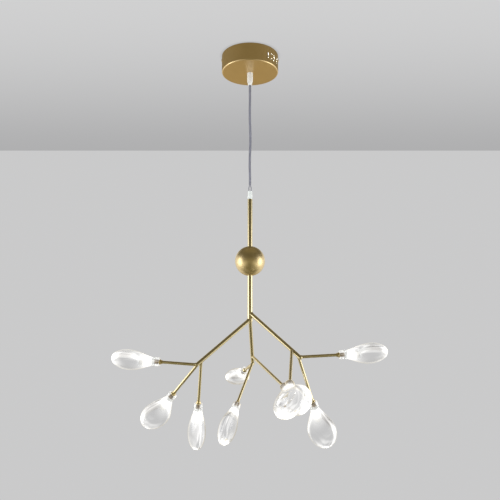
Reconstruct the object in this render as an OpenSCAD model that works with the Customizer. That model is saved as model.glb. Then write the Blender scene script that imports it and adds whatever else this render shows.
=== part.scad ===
// Branch pendant: a ceiling canopy, a clear cord, a stem with a ball, three branches and
// nine twigs that each carry a flattened drop of clear glass over a small capsule lamp.
// The origin is the centre of the canopy's rim, on the ceiling. +Z is up and -Y faces the room.

/* [Canopy] */
// Outer diameter of the canopy
canopy_d = 120; // [112:1:160]
// Depth of the canopy, from the ceiling to its underside
canopy_h = 38; // [36:1:60]
// Wall of the spun canopy
canopy_wall = 1.2; // [0.8:0.1:1.6]
// Radius of the canopy's lower edge
canopy_edge_r = 2.4; // [2:0.1:5]
// Width of a vent slot
vent_w = 3; // [2:0.2:4]
// Height of a vent slot
vent_h = 13; // [8:0.5:16]
// Diameter of the round vent holes
vent_hole_d = 3.6; // [2:0.2:4]
// Distance between the two round vent holes
vent_hole_pitch = 11; // [6:0.5:12]
// Depth of the vents' middle below the ceiling
vent_drop = 20.5; // [18:0.5:24]

/* [Ceiling bracket] */
// Width of the bracket's bar
bracket_w = 20; // [16:1:30]
// Thickness of the bracket's sheet
bracket_t = 1.5; // [1:0.1:2]
// Length of the bracket's down-turned ears
ear_h = 14; // [13:1:18]
// Outer radius of the bracket's bends
bracket_bend_r = 2.5; // [2.2:0.1:4]
// Distance between the two ceiling screw holes
ceiling_hole_pitch = 70; // [60:1:80]
// Diameter of the ceiling screw holes
ceiling_hole_d = 5; // [4:0.1:6]
// Hole in the bracket for the mains wires
wire_hole_d = 12; // [8:1:16]
// Diameter of the side screws and of the earth screw
screw_d = 4; // [3:0.5:5]
// Depth of the side screws below the ceiling
side_screw_drop = 9; // [8:0.5:10]

/* [Driver and terminals] */
// Length of the lamp driver
driver_l = 72; // [50:1:76]
// Width of the lamp driver
driver_w = 28; // [20:1:30]
// Height of the driver case without its lid
driver_h = 18.5; // [18:0.5:20]
// Thickness of the driver's lid
driver_lid_t = 2; // [1:0.5:3]
// Distance from the cord to the driver's near side
driver_offset = 14; // [13:1:15]
// Length of the terminal block
terminal_l = 34; // [30:1:44]
// Width of the terminal block
terminal_w = 16; // [12:1:18]
// Height of the terminal block
terminal_h = 13; // [9:1:16]

/* [Gland and cord] */
// Diameter of the gland's nylon body
gland_d = 12.6; // [11.5:0.1:14]
// Length of the gland's straight part
gland_straight = 12; // [8:1:16]
// Length of the gland's taper
gland_taper = 16; // [12:1:20]
// Diameter of the gland's threaded neck
gland_neck_d = 10; // [9:0.5:11]
// Height of the lock nut
locknut_h = 4; // [3:0.5:4.5]
// Diameter of the supply cord
cord_d = 5; // [4:0.1:5.4]
// Diameter of each bare core
core_d = 1.6; // [1.2:0.1:1.8]

/* [Stem] */
// Diameter of the stem
stem_d = 10; // [9:0.5:12]
// Wall of the stem
stem_wall = 1; // [0.8:0.1:1.2]
// Length of the stem
stem_l = 250; // [200:1:300]
// Height of the milky bushing above the stem
bushing_h = 17; // [10:1:24]
// Length of the bushing's shank inside the stem
bushing_shank_l = 10; // [6:1:16]
// Diameter of the ball
ball_d = 60; // [50:1:70]
// Wall of the spun ball
ball_wall = 1.2; // [0.8:0.1:2]
// Distance from the stem's top to the ball's centre
ball_drop = 128.5; // [80:0.5:140]

/* [Branches] */
// Diameter of the branch tubes
branch_d = 7.5; // [7:0.1:9]
// Wall of the branch and twig tubes
tube_wall = 0.7; // [0.5:0.1:1]
// Length of a branch, from the stem's axis to its closed end
branch_l = 142; // [130:1:180]
// Slope of the branches below the horizontal
branch_drop = 38; // [30:1:45]
// Directions of the left, centre and right branch
branch_azimuth = [207, 87, 327]; // [0:1:360]
// Height of the two lower branches above the stem's foot
branch_low = 4.3; // [4:0.1:8]
// Height of the right branch above the two lower ones
branch_step = 13; // [10:0.5:20]

/* [Twigs] */
// Diameter of the twig tubes
twig_d = 5.6; // [5:0.1:6]
// Directions of the left branch's outer, middle and lower twig
left_azimuth = [174, 147, 102]; // [-180:1:180]
// Their slopes above the horizontal
left_slope = [4, -44, -69]; // [-80:1:30]
// Their lengths, from the branch's axis to the glass
left_length = [72, 85, 86]; // [60:1:140]
// Their distances back from the branch's end
left_setback = [0, 5, 11]; // [0:1:40]
// Turns of their shades
left_turn = [115, 120, 0]; // [-180:5:180]
// Directions of the centre branch's outer, middle and lower twig
centre_azimuth = [108, -116, -66]; // [-180:1:180]
// Their slopes above the horizontal
centre_slope = [-15, -48, -21]; // [-80:1:30]
// Their lengths, from the branch's axis to the glass
centre_length = [58, 108, 155]; // [45:1:180]
// Their distances back from the branch's end
centre_setback = [0, 3, 25]; // [0:1:40]
// Turns of their shades
centre_turn = [95, 160, -30]; // [-180:5:180]
// Directions of the right branch's outer, middle and lower twig
right_azimuth = [6, 39, -96]; // [-180:1:180]
// Their slopes above the horizontal
right_slope = [3, -67, -29]; // [-80:1:30]
// Their lengths, from the branch's axis to the glass
right_length = [76, 93, 118]; // [60:1:140]
// Their distances back from the branch's end
right_setback = [2, 6, 23]; // [0:1:40]
// Turns of their shades
right_turn = [65, 60, 120]; // [-180:5:180]

/* [Ferrules and lamps] */
// Diameter of the ferrule's flange
flange_d = 10; // [8:0.5:11]
// Thickness of the ferrule's flange
flange_t = 1.5; // [1:0.1:2.5]
// Length of the ferrule's flare
flare_l = 4.5; // [3:0.5:8]
// Length of the ferrule's nipple inside the glass
nipple_l = 9; // [4:0.5:10]
// Diameter of the white lamp holder
holder_d = 9; // [8:0.1:10]
// Length of the lamp holder
holder_l = 6; // [5:0.5:9]
// Diameter of the capsule lamp
lamp_d = 9.4; // [8:0.1:10]
// Length of the capsule lamp
lamp_l = 25; // [20:0.5:28]

/* [Glass shades] */
// Length of a shade, from the mouth of its neck to its tip
shade_l = 93; // [80:1:110]
// Greatest width of a shade
shade_w = 55; // [44:1:56]
// Greatest thickness of a shade
shade_t = 34; // [30:1:40]
// Distance from the mouth to the widest place
shade_peak = 59; // [54:1:66]
// Outer diameter of the neck
neck_d = 16.2; // [15.5:0.1:19]
// Length of the neck's straight part
neck_l = 14; // [4:0.5:20]
// Bore of the glass
bore_d = 12.4; // [12:0.1:13]

/* [Hidden] */
$fn = 48;

brass = [0.72, 0.58, 0.34];
steel = [0.75, 0.75, 0.76];
nylon = [0.95, 0.94, 0.91];
clear_plastic = [0.55, 0.55, 0.62];
ceramic = [0.93, 0.93, 0.9];
lit = [1, 0.95, 0.82];
glass = [0.85, 0.9, 0.92, 0.4];

// Clearances: a turning fit, a gap across a joint, and the play of a screw in its hole
turning_gap = 0.05;
joint_gap = 0.3;
screw_play = 0.2;
overcut = 1;

// Radii and heights that follow from the driving sizes
canopy_r = canopy_d / 2;
floor_z = -canopy_h + canopy_wall;
inner_r = canopy_r - canopy_wall;
ear_x = sqrt(inner_r * inner_r - bracket_w * bracket_w / 4) - 0.4;
screw_r = screw_d / 2;
head_r = screw_r * 1.7;
head_t = screw_r * 0.6;
cord_r = cord_d / 2;
gland_r = gland_d / 2;
gland_bore_r = cord_r + 0.1;
neck_top_z = floor_z + locknut_h + 0.8;
gland_tip_z = -canopy_h - gland_straight - gland_taper;
cord_pivot_z = gland_tip_z - joint_gap - cord_r;
jacket_end_z = -285;
core_end_z = -298;
stem_r = stem_d / 2;
stem_bore_r = stem_r - stem_wall;
bushing_top_z = core_end_z - joint_gap;
stem_top_z = bushing_top_z - bushing_h;
stem_foot_z = stem_top_z - stem_l;
cap_t = 1;
ball_r = ball_d / 2;
ball_z = stem_top_z - ball_drop;
ball_collar_r = stem_r + 3;
ball_collar_z = ball_r * 2 / 3;
grub_r = 1.5;
branch_r = branch_d / 2;
branch_plug = 6;
twig_r = twig_d / 2;
wire_hole_r = 1.5;
flange_r = flange_d / 2;
flare_foot_r = twig_r + 0.6;
twig_seat = flange_t + 0.5;
nipple_r = twig_r;
holder_r = holder_d / 2;
pin_r = 0.35;
pin_pitch = 4;
pin_l = 4;
lamp_r = lamp_d / 2;
lamp_base_l = 3;
lamp_foot = nipple_l + holder_l;
bore_r = bore_d / 2;
sleeve_r = bore_r - turning_gap;
sleeve_l = holder_l - 1;
bore_l = lamp_foot + lamp_l - bore_r + 3.2;

// The routes of the cords, points chosen by hand: the lead inside the canopy, the cord, a core
lead_bend = 10;
cord_wander = [[-84, 0], [-104, -0.2], [-124, -0.4], [-144, -0.2], [-164, 0.5], [-184, 0.9],
    [-204, 0.5], [-224, -0.3], [-244, -0.6], [-258, -0.3], [-270, 0]];
core_route = [[0.9, -285], [0.9, -286], [0.9, -287], [1.4, -289], [2.1, -291], [2.4, -293], [2.3, -295.5],
    [2.2, -298]];

// Places

function along_branch(b) = [cos(branch_azimuth[b]) * cos(branch_drop),
    sin(branch_azimuth[b]) * cos(branch_drop), -sin(branch_drop)];
function hub_z(b) = stem_foot_z + branch_low + (b == 2 ? branch_step : 0);
function of_branch(i, left, centre, right) = [left, centre, right][floor(i / 3)][i % 3];
function azimuth(i) = of_branch(i, left_azimuth, centre_azimuth, right_azimuth);
function slope(i) = of_branch(i, left_slope, centre_slope, right_slope);
function reach(i) = of_branch(i, left_length, centre_length, right_length);
function setback(i) = of_branch(i, left_setback, centre_setback, right_setback);
function turn(i) = of_branch(i, left_turn, centre_turn, right_turn);
function twig_start(i) = [0, 0, hub_z(floor(i / 3))]
    + along_branch(floor(i / 3)) * (branch_l - setback(i));

module on_branch(b) {
    translate([0, 0, hub_z(b)]) rotate([0, 90 + branch_drop, branch_azimuth[b]]) children();
}

module on_twig(i) {
    translate(twig_start(i)) rotate([0, 90 - slope(i), azimuth(i)]) children();
}

// The mouth of a shade's neck, with +Z towards the tip and X across the shade's width
module at_mouth(i) {
    on_twig(i) translate([0, 0, reach(i)]) rotate([0, 0, turn(i)]) children();
}

// Flat shapes

// Half of a cup's section: floor at y = 0, rounded where it meets the wall
module cup_section(r, h, edge) {
    square([r - edge, h]);
    translate([0, edge]) square([r, h - edge]);
    translate([r - edge, edge]) circle(edge);
}

module stadium(w, h) {
    square([w, h - w], center = true);
    for (side = [-1, 1]) translate([0, side * (h - w) / 2]) circle(w / 2);
}

module round_rectangle(l, w, r) {
    square([l - 2 * r, w], center = true);
    square([l, w - 2 * r], center = true);
    for (x = [-1, 1], y = [-1, 1]) translate([x * (l / 2 - r), y * (w / 2 - r)]) circle(r);
}

// Swept tubes: a round section carried along a path that lies in one plane

function unit(v) = v / norm(v);
function tangent(p, i) = unit(p[min(i + 1, len(p) - 1)] - p[max(i - 1, 0)]);
function between(a, b, c, d, t) = 0.5 * (2 * b + (c - a) * t + (2 * a - 5 * b + 4 * c - d) * t * t
    + (3 * b - a - 3 * c + d) * t * t * t);
function smooth(p, steps) = [for (i = [0 : len(p) - 2], s = [0 : steps - 1])
    between(p[max(i - 1, 0)], p[i], p[i + 1], p[min(i + 2, len(p) - 1)], s / steps),
    p[len(p) - 1]];

// path: points; radii: one for each point; across: the direction square to the path's plane
module swept_tube(path, radii, across, sides) {
    rings = len(path);
    points = [for (i = [0 : rings - 1], k = [0 : sides - 1])
        let (out = cross(tangent(path, i), across), a = 360 * k / sides)
        path[i] + radii[i] * (cos(a) * out + sin(a) * across)];
    walls = [for (i = [0 : rings - 2], k = [0 : sides - 1])
        let (n = (k + 1) % sides, a = i * sides, b = a + sides)
        each [[a + k, a + n, b + n], [a + k, b + n, b + k]]];
    ends = [[for (k = [sides - 1 : -1 : 0]) k], [for (k = [0 : sides - 1]) (rings - 1) * sides + k]];
    polyhedron(points, concat(walls, ends));
}

// The glass drop: a round neck that swells to a flattened body and closes in a blunt tip
near_rings = 8;
far_rings = 6;
drop_sides = 24;
function swell(z, half) = z <= neck_l ? neck_d / 2
    : z < shade_peak
    ? neck_d / 2 + (half - neck_d / 2) * sin(90 * pow((z - neck_l) / (shade_peak - neck_l), 1.15))
    : half * sqrt(max(0, 1 - pow((z - shade_peak) / (shade_l - shade_peak), 2)));
drop_heights = concat([0],
    [for (k = [0 : near_rings]) neck_l + (shade_peak - neck_l) * k / near_rings],
    [for (k = [1 : far_rings - 1]) shade_peak + (shade_l - shade_peak) * sin(90 * k / far_rings)]);

module glass_drop() {
    rings = len(drop_heights);
    points = concat([for (z = drop_heights, k = [0 : drop_sides - 1])
        let (a = 360 * k / drop_sides)
        [swell(z, shade_w / 2) * cos(a), swell(z, shade_t / 2) * sin(a), z]], [[0, 0, shade_l]]);
    tip = rings * drop_sides;
    last = tip - drop_sides;
    walls = [for (i = [0 : rings - 2], k = [0 : drop_sides - 1])
        let (n = (k + 1) % drop_sides, a = i * drop_sides, b = a + drop_sides)
        each [[a + k, b + k, b + n], [a + k, b + n, a + n]]];
    ends = [for (k = [0 : drop_sides - 1]) [last + k, tip, last + (k + 1) % drop_sides]];
    polyhedron(points, concat(walls, ends, [[for (k = [0 : drop_sides - 1]) k]]));
}

// Canopy

module radial_cut(angle, drop) {
    rotate([0, 0, angle]) translate([canopy_r - 2 * canopy_wall, 0, -drop])
        rotate([90, 0, 90]) linear_extrude(4 * canopy_wall) children();
}

module side_screw_holes(r) {
    translate([0, 0, -side_screw_drop]) rotate([0, 90, 0])
        cylinder(r = r, h = canopy_d + 2 * overcut, center = true);
}

module vents() {
    for (angle = [-51, -33, -20]) radial_cut(angle, vent_drop) stadium(vent_w, vent_h);
    for (side = [-1, 1]) radial_cut(-42, vent_drop + side * vent_hole_pitch / 2) circle(vent_hole_d / 2);
}

module canopy_shell() {
    color(brass) difference() {
        translate([0, 0, -canopy_h]) rotate_extrude() difference() {
            cup_section(canopy_r, canopy_h, canopy_edge_r);
            translate([0, canopy_wall])
                cup_section(inner_r, canopy_h, canopy_edge_r - canopy_wall);
        }
        translate([0, 0, -canopy_h - overcut])
            cylinder(r = gland_neck_d / 2 + screw_play, h = canopy_wall + 2 * overcut);
        side_screw_holes(screw_r + screw_play);
        vents();
        rotate([0, 0, 180]) vents();
    }
}

module ceiling_bracket() {
    color(steel) difference() {
        rotate([-90, 0, 0]) linear_extrude(bracket_w, center = true)
            for (side = [0, 1]) mirror([side, 0]) difference() {
                cup_section(ear_x, ear_h, bracket_bend_r);
                translate([0, bracket_t])
                    cup_section(ear_x - bracket_t, ear_h, bracket_bend_r - bracket_t);
            }
        for (side = [-1, 1]) translate([side * ceiling_hole_pitch / 2, 0, -bracket_t - overcut])
            cylinder(d = ceiling_hole_d, h = bracket_t + 2 * overcut);
        translate([0, 0, -bracket_t - overcut]) cylinder(d = wire_hole_d, h = bracket_t + 2 * overcut);
        earth_screw_place() cylinder(r = screw_r, h = 3 * bracket_t, center = true);
        side_screw_holes(screw_r);
    }
}

// A domed screw along +Z: its head is above z = 0 and its shank below
module domed_screw(shank) {
    translate([0, 0, -shank]) cylinder(r = screw_r - turning_gap, h = shank);
    mirror([0, 0, 1]) translate([0, 0, -head_t]) rotate_extrude() cup_section(head_r, head_t, head_t / 2);
}

module canopy_screws() {
    color(brass) for (side = [0, 180]) rotate([0, 0, side])
        translate([canopy_r, 0, -side_screw_drop]) rotate([0, 90, 0]) domed_screw(canopy_r - ear_x + 4);
}

module earth_screw_place() {
    translate([ceiling_hole_pitch / 4 + 3, 0, -bracket_t]) children();
}

module earth_screw() {
    color(brass) earth_screw_place() mirror([0, 0, 1]) domed_screw(bracket_t);
}

module driver_place() {
    translate([0, driver_offset + driver_w / 2, floor_z]) children();
}

module driver_case() {
    color(nylon) driver_place() linear_extrude(driver_h) round_rectangle(driver_l, driver_w, 3);
}

module driver_lid() {
    color(nylon) driver_place() translate([0, 0, driver_h]) difference() {
        linear_extrude(driver_lid_t) round_rectangle(driver_l, driver_w, 3);
        for (side = [-1, 1]) translate([side * (driver_l / 2 - 5), 0, -overcut])
            cylinder(r = 1.5, h = driver_lid_t + 2 * overcut);
    }
}

module terminal_block() {
    ways = 3;
    color(ceramic) translate([0, -driver_offset - terminal_w / 2, floor_z]) difference() {
        linear_extrude(terminal_h) round_rectangle(terminal_l, terminal_w, 1.5);
        for (k = [0 : ways - 1]) translate([(k - 1) * terminal_l / (ways + 0.2), 0, 0]) {
            translate([0, 0, terminal_h / 2]) cylinder(r = 2, h = terminal_h);
            translate([0, 0, terminal_h / 2 - 2]) rotate([90, 0, 0])
                cylinder(r = 1.6, h = terminal_w + 2 * overcut, center = true);
        }
    }
}

// Gland, cord and bushing

module cord_gland() {
    taper_axis = gland_taper / sin(60);
    below = -canopy_h - gland_straight;
    color(nylon) rotate_extrude() polygon(concat(
        [[gland_bore_r, neck_top_z], [gland_neck_d / 2, neck_top_z], [gland_neck_d / 2, -canopy_h],
            [gland_r, -canopy_h]],
        [for (a = [0 : 10 : 60]) [gland_r * cos(a), below - taper_axis * sin(a)]],
        [[gland_bore_r, gland_tip_z]]));
}

module gland_locknut() {
    color(nylon) translate([0, 0, floor_z]) difference() {
        cylinder(r = gland_neck_d * 0.85, h = locknut_h, $fn = 6);
        translate([0, 0, -overcut])
            cylinder(r = gland_neck_d / 2 + turning_gap, h = locknut_h + 2 * overcut);
    }
}

module canopy_lead() {
    bend_z = neck_top_z;
    path = concat([[0, 0, gland_tip_z], [0, 0, (gland_tip_z + bend_z) / 2]],
        [for (a = [0 : 15 : 90]) [0, lead_bend * (1 - cos(a)), bend_z + lead_bend * sin(a)]],
        [[0, driver_offset, bend_z + lead_bend]]);
    color(clear_plastic) swept_tube(path, [for (p = path) cord_r], [1, 0, 0], 10);
}

module supply_cord() {
    dome = [for (a = [75, 50, 25]) [cord_r * cos(a), cord_pivot_z + cord_r * sin(a)]];
    route = smooth([[0, 0, cord_pivot_z], [0, 0, cord_pivot_z - 6],
        for (p = cord_wander) [p[1], 0, p[0]], [0, 0, jacket_end_z + 6], [0, 0, jacket_end_z]], 3);
    path = concat([for (d = dome) [0, 0, d[1]]], route);
    radii = concat([for (d = dome) d[0]], [for (p = route) cord_r]);
    color(clear_plastic) swept_tube(path, radii, [0, 1, 0], 10);
}

module cord_cores() {
    route = smooth([for (p = core_route) [p[0], 0, p[1]]], 2);
    color(clear_plastic) for (side = [0, 180])
        rotate([0, 0, side]) swept_tube(route, [for (p = route) core_d / 2], [0, 1, 0], 8);
}

module stem_bushing() {
    color(nylon) rotate_extrude() polygon([[0, bushing_top_z], [stem_r * 0.8, bushing_top_z],
        [stem_r * 0.9, bushing_top_z - 1], [stem_r, stem_top_z + 2], [stem_r, stem_top_z],
        [stem_bore_r - turning_gap, stem_top_z],
        [stem_bore_r - turning_gap, stem_top_z - bushing_shank_l],
        [0, stem_top_z - bushing_shank_l]]);
}

// Stem

module stem_tube() {
    color(brass) translate([0, 0, stem_foot_z]) difference() {
        cylinder(r = stem_r, h = stem_l);
        translate([0, 0, -overcut]) cylinder(r = stem_bore_r, h = stem_l + 2 * overcut);
    }
}

module stem_cap() {
    color(brass) translate([0, 0, stem_foot_z]) {
        translate([0, 0, -cap_t]) cylinder(r = stem_r, h = cap_t);
        cylinder(r = stem_bore_r - turning_gap, h = 8);
    }
}

// A hollow ball with a collar at each end, bored for the stem
module stem_ball() {
    color(brass) translate([0, 0, ball_z]) difference() {
        sphere(ball_r);
        difference() {
            sphere(ball_r - ball_wall);
            for (side = [0, 1]) mirror([0, 0, side]) translate([0, 0, ball_collar_z])
                cylinder(r = ball_collar_r, h = ball_r);
        }
        cylinder(r = stem_r + turning_gap, h = ball_d + 2 * overcut, center = true);
        ball_screw_place() cylinder(r = grub_r + turning_gap, h = ball_r);
    }
}

module ball_screw_place() {
    translate([0, 0, -(ball_collar_z + ball_r) / 2 + 1]) rotate([-90, 0, 0]) children();
}

module ball_screw() {
    color(steel) translate([0, 0, ball_z]) ball_screw_place()
        translate([0, 0, stem_r]) cylinder(r = grub_r, h = ball_collar_r - stem_r);
}

// The space that the stem and its cap fill, which the branches are cut to fit
module stem_space() {
    translate([0, 0, stem_foot_z - cap_t]) cylinder(r = stem_r, h = stem_l);
}

module branch_space(b) {
    on_branch(b) {
        cylinder(r = branch_r, h = branch_l);
        translate([0, 0, branch_l]) sphere(branch_r);
    }
}

module branch(b) {
    color(brass) difference() {
        branch_space(b);
        on_branch(b) cylinder(r = branch_r - tube_wall, h = branch_l - branch_plug);
        stem_space();
        if (b == 1) branch_space(0);
    }
}

// Twigs and what they carry

module twig_space(i) {
    on_twig(i) cylinder(r = twig_r, h = reach(i) - twig_seat);
}

module twig(i) {
    color(brass) difference() {
        twig_space(i);
        on_twig(i) cylinder(r = twig_r - tube_wall, h = reach(i));
        branch_space(floor(i / 3));
        for (k = [0 : 1 : i % 3 - 1]) twig_space(i - i % 3 + k);
    }
}

module ferrule(i) {
    foot = -flange_t - flare_l;
    color(brass) at_mouth(i) rotate_extrude() polygon([[twig_r, foot], [flare_foot_r, foot],
        [flange_r, -flange_t], [flange_r, 0], [nipple_r, 0], [nipple_r, nipple_l],
        [wire_hole_r, nipple_l], [wire_hole_r, -twig_seat], [twig_r, -twig_seat]]);
}

module pins(r, l) {
    for (side = [-1, 1]) translate([side * pin_pitch / 2, 0, -l]) cylinder(r = r, h = l);
}

module lamp_holders() {
    color(ceramic) for (i = [0 : 8]) at_mouth(i) difference() {
        translate([0, 0, nipple_l]) cylinder(r = holder_r, h = holder_l);
        translate([0, 0, lamp_foot + 0.5]) pins(pin_r + 0.1, pin_l + 1);
    }
}

module grip_sleeves() {
    color(clear_plastic) for (i = [0 : 8]) at_mouth(i) translate([0, 0, nipple_l + 0.5]) difference() {
        cylinder(r = sleeve_r, h = sleeve_l);
        translate([0, 0, -overcut]) cylinder(r = holder_r, h = sleeve_l + 2 * overcut);
    }
}

module lamp(i) {
    color(lit) at_mouth(i) translate([0, 0, lamp_foot]) {
        cylinder(r = holder_r - 0.3, h = lamp_base_l);
        translate([0, 0, lamp_base_l]) cylinder(r = lamp_r, h = lamp_l - lamp_base_l - lamp_r);
        translate([0, 0, lamp_l - lamp_r]) sphere(lamp_r);
        pins(pin_r, pin_l);
    }
}

module shade(i) {
    color(glass) at_mouth(i) difference() {
        glass_drop();
        translate([0, 0, -overcut]) cylinder(r = bore_r, h = bore_l + overcut);
        translate([0, 0, bore_l]) sphere(bore_r);
    }
}

canopy_shell();
ceiling_bracket();
canopy_screws();
driver_case();
driver_lid();
terminal_block();
earth_screw();
cord_gland();
gland_locknut();
canopy_lead();
supply_cord();
cord_cores();
stem_bushing();
stem_tube();
stem_ball();
ball_screw();
stem_cap();
branch(0);  // branch_left
branch(1);  // branch_centre
branch(2);  // branch_right
twig(0);  // twig_left_outer
twig(1);  // twig_left_middle
twig(2);  // twig_left_lower
twig(3);  // twig_centre_outer
twig(4);  // twig_centre_middle
twig(5);  // twig_centre_lower
twig(6);  // twig_right_outer
twig(7);  // twig_right_middle
twig(8);  // twig_right_lower
ferrule(0);  // ferrule_left_outer
ferrule(1);  // ferrule_left_middle
ferrule(2);  // ferrule_left_lower
ferrule(3);  // ferrule_centre_outer
ferrule(4);  // ferrule_centre_middle
ferrule(5);  // ferrule_centre_lower
ferrule(6);  // ferrule_right_outer
ferrule(7);  // ferrule_right_middle
ferrule(8);  // ferrule_right_lower
grip_sleeves();
lamp_holders();
lamp(0);  // lamp_left_outer
lamp(1);  // lamp_left_middle
lamp(2);  // lamp_left_lower
lamp(3);  // lamp_centre_outer
lamp(4);  // lamp_centre_middle
lamp(5);  // lamp_centre_lower
lamp(6);  // lamp_right_outer
lamp(7);  // lamp_right_middle
lamp(8);  // lamp_right_lower
shade(0);  // shade_left_outer
shade(1);  // shade_left_middle
shade(2);  // shade_left_lower
shade(3);  // shade_centre_outer
shade(4);  // shade_centre_middle
shade(5);  // shade_centre_lower
shade(6);  // shade_right_outer
shade(7);  // shade_right_middle
shade(8);  // shade_right_lower
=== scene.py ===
from math import cos, pi, radians, sin, sqrt

import bmesh
import bpy
from mathutils import Matrix, Vector


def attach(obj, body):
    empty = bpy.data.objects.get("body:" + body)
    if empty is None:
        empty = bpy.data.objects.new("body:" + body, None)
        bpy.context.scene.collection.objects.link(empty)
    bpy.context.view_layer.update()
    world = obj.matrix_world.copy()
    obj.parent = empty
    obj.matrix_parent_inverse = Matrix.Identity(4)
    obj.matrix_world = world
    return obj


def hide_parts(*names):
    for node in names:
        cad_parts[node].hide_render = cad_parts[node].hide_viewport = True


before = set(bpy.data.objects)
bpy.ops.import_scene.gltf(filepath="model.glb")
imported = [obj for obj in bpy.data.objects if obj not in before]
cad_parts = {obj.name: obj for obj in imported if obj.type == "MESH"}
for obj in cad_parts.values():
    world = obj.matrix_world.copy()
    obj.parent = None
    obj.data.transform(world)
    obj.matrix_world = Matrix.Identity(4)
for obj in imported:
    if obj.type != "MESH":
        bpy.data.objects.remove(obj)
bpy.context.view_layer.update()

# The view of the photograph: the camera stands level with the branches and is tipped up
# towards the ceiling. The origin is the canopy's centre on the ceiling.

eye = bpy.data.cameras.new("eye")
eye.lens = 43.2
eye.sensor_width = 36
eye.clip_start = 0.05
camera = bpy.data.objects.new("eye", eye)
camera.location = (0, -1.196, -0.632)
camera.rotation_euler = (radians(100), 0, 0)
bpy.context.scene.collection.objects.link(camera)
bpy.context.scene.camera = camera
bpy.context.scene.view_settings.view_transform = "Standard"


def node_material(name, colour, metal=0.0, rough=0.4):
    """A material with its surface shader set, and the tree to add a pattern to."""
    made = bpy.data.materials.new(name)
    made.use_nodes = True
    surface = made.node_tree.nodes["Principled BSDF"]
    surface.inputs["Base Color"].default_value = (*colour, 1)
    surface.inputs["Metallic"].default_value = metal
    surface.inputs["Roughness"].default_value = rough
    return made, made.node_tree, surface


def add_node(tree, kind, **settings):
    made = tree.nodes.new(kind)
    for name, value in settings.items():
        if name in made.inputs:
            made.inputs[name].default_value = value
        else:
            setattr(made, name, value)
    return made


# The room: a pale ceiling, a flat grey wall and a pale floor. Metal meets warmer colours there
# and glass shows its own, both brighter towards the sides of the wall and the floor. Each is
# seen from its room side only, so that it hides nothing from the other views.

WALL_Y = 0.600
FLOOR_Z = -1.25
CEILING_Z = 0.0006
ROOM_HALF = 3
PALE = (0.591, 0.591, 0.594)
CEILING_NEAR = (0.645, 0.645, 0.648)
CEILING_FAR = (0.43, 0.43, 0.435)
CONTACT_SHADE = 0.84
THROUGH_DARK = (0.42, 0.41, 0.40)


def room_plane(name, corners, shader):
    sheet = bpy.data.meshes.new(name)
    bm = bmesh.new()
    bm.faces.new([bm.verts.new(c) for c in corners])
    bm.to_mesh(sheet)
    bm.free()
    plane = bpy.data.objects.new(name, sheet)
    bpy.context.scene.collection.objects.link(plane)
    made = bpy.data.materials.new(name)
    made.use_nodes = True
    tree = made.node_tree
    tree.nodes.clear()
    one_sided = add_node(tree, "ShaderNodeMixShader")
    back = add_node(tree, "ShaderNodeNewGeometry").outputs["Backfacing"]
    tree.links.new(back, one_sided.inputs[0])
    tree.links.new(shader(tree), one_sided.inputs[1])
    tree.links.new(add_node(tree, "ShaderNodeBsdfTransparent").outputs[0], one_sided.inputs[2])
    tree.links.new(one_sided.outputs[0], add_node(tree, "ShaderNodeOutputMaterial").inputs[0])
    sheet.materials.append(made)


def for_rays(tree, kinds, shown, otherwise):
    """One shader for these kinds of ray, and another for the rest. A ray through glass counts
    as glossy too, so it is told before the glossy ones."""
    ray = add_node(tree, "ShaderNodeLightPath")
    any_kind = ray.outputs[kinds[0]]
    for kind in kinds[1:]:
        either = add_node(tree, "ShaderNodeMath", operation="MAXIMUM")
        tree.links.new(any_kind, either.inputs[0])
        tree.links.new(ray.outputs[kind], either.inputs[1])
        any_kind = either.outputs[0]
    both = add_node(tree, "ShaderNodeMixShader")
    tree.links.new(any_kind, both.inputs[0])
    tree.links.new(otherwise, both.inputs[1])
    tree.links.new(shown, both.inputs[2])
    return both.outputs[0]


def by_ray(tree, seen, through, met):
    """What the lens sees, what shows through glass and what metal meets. Matt things are lit
    by what the lens sees."""
    metal = for_rays(tree, ["Is Glossy Ray"], met, seen)
    behind = for_rays(tree, ["Is Transmission Ray"], through, metal)
    return for_rays(tree, ["Is Camera Ray"], seen, behind)


def ranged(tree, value, start, end=(0.0, 1.0), kind="SMOOTHSTEP"):
    """The value taken from one range to another, and held at both ends."""
    made = add_node(tree, "ShaderNodeMapRange", interpolation_type=kind)
    for name, edge in zip(("From Min", "From Max", "To Min", "To Max"), (*start, *end)):
        made.inputs[name].default_value = edge
    tree.links.new(value, made.inputs["Value"])
    return made.outputs[0]


def graded(tree, value, reach, near, far, kind="ShaderNodeEmission"):
    """Light whose colour goes from near to far while the value crosses the reach."""
    shade = add_node(tree, "ShaderNodeMix", data_type="RGBA")
    shade.inputs["A"].default_value = (*near, 1)
    shade.inputs["B"].default_value = (*far, 1)
    glow = add_node(tree, kind)
    tree.links.new(ranged(tree, value, reach), shade.inputs["Factor"])
    tree.links.new(shade.outputs["Result"], glow.inputs["Color"])
    return glow.outputs[0]


def split_place(tree, output):
    """The three coordinates of a place or a direction."""
    split = add_node(tree, "ShaderNodeSeparateXYZ")
    tree.links.new(add_node(tree, "ShaderNodeTexCoord").outputs[output], split.inputs[0])
    return split.outputs


def distance(tree, axes):
    """The distance from the fitting's axis, measured over the named axes."""
    keep = add_node(tree, "ShaderNodeVectorMath", operation="MULTIPLY")
    keep.inputs[1].default_value = [float(a in axes) for a in "XYZ"]
    length = add_node(tree, "ShaderNodeVectorMath", operation="LENGTH")
    tree.links.new(add_node(tree, "ShaderNodeTexCoord").outputs["Object"], keep.inputs[0])
    tree.links.new(keep.outputs[0], length.inputs[0])
    return length.outputs["Value"]


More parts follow.
